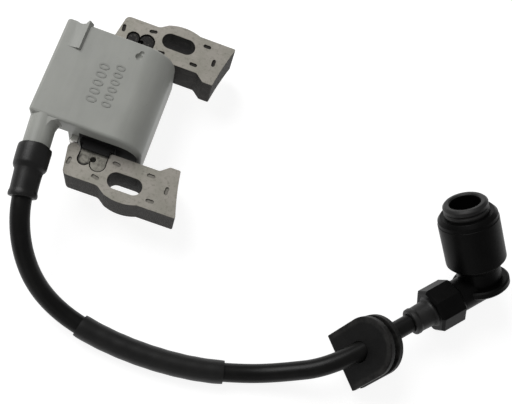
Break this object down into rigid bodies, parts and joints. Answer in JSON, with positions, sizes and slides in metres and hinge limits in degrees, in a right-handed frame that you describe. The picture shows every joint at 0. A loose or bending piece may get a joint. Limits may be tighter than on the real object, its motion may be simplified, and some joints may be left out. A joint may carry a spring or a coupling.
{
  "type": "ignition coil",
  "caption": "Small-engine ignition coil with laminated core legs, potted case, high-tension cable, protective sleeve, shroud grommet and angled spark plug cap.",
  "frame": {"origin": "under the middle of the coil, on the plane of the case's open back; the cable, the boot and what is on the cable are left out of the middle", "axes": "+X along the core's legs towards the flywheel, +Y from the leg by the cable to the other leg, +Z square to the laminations, out of the case's front"},
  "size_m": [0.1894, 0.1253, 0.0411],
  "materials": {
    "laminations": "stamped steel, mottled, dark cut edges",
    "limb_steel": "dull varnished steel",
    "bobbin_plastic": "black moulded plastic",
    "magnet_wire": "enamelled copper",
    "case_plastic": "satin grey moulding",
    "resin": "black potting resin",
    "board": "green laminate",
    "component_plastic": "black epoxy",
    "contact_brass": "turned brass",
    "tinned_metal": "tinned strip",
    "boot_rubber": "soft black rubber",
    "cable_rubber": "extruded black rubber",
    "sleeve_rubber": "satin black sleeve",
    "grommet_rubber": "moulded black rubber",
    "cap_plastic": "black phenolic moulding",
    "spring_steel": "plated spring steel",
    "ceramic_body": "unglazed ceramic"
  },
  "bodies": {
    "coil": {"core_leg_upper": "laminations", "core_leg_lower": "laminations", "core_centre_limb": "limb_steel", "primary_bobbin": "bobbin_plastic", "primary_winding": "magnet_wire", "secondary_bobbin": "bobbin_plastic", "secondary_winding": "magnet_wire", "coil_case": "case_plastic", "potting_resin": "resin", "circuit_board": "board", "drive_transistor": "component_plastic", "board_capacitor": "component_plastic", "board_diode": "component_plastic", "tower_pin": "contact_brass", "high_tension_lead": "magnet_wire", "earth_tab": "tinned_metal", "stop_terminal": "tinned_metal", "tower_boot": "boot_rubber", "hv_cable": "cable_rubber", "cable_conductor": "magnet_wire", "cable_sleeve": "sleeve_rubber"},
    "grommet": {"shroud_grommet": "grommet_rubber"},
    "cap": {"cap_elbow": "cap_plastic", "cap_barrel": "cap_plastic", "cap_plug_seal": "boot_rubber", "cap_cable_seal": "boot_rubber", "cap_end_plug": "cap_plastic", "cap_contact": "contact_brass", "cap_contact_spring": "spring_steel", "cap_resistor": "ceramic_body", "cap_terminal_clip": "spring_steel"}
  },
  "joints": [
    {"name": "grommet_slide", "type": "slide", "parent": "coil", "child": "grommet", "axis": [0.6946, 0.7193, -0.014], "range_m": [-0.0015, 0.008]},
    {"name": "cap_swivel", "type": "hinge", "parent": "coil", "child": "cap", "pos_m": [0.14977, -0.01771, 0.0137], "axis": [0.6946, 0.7193, -0.014], "range_deg": [-180, 180]}
  ]
}
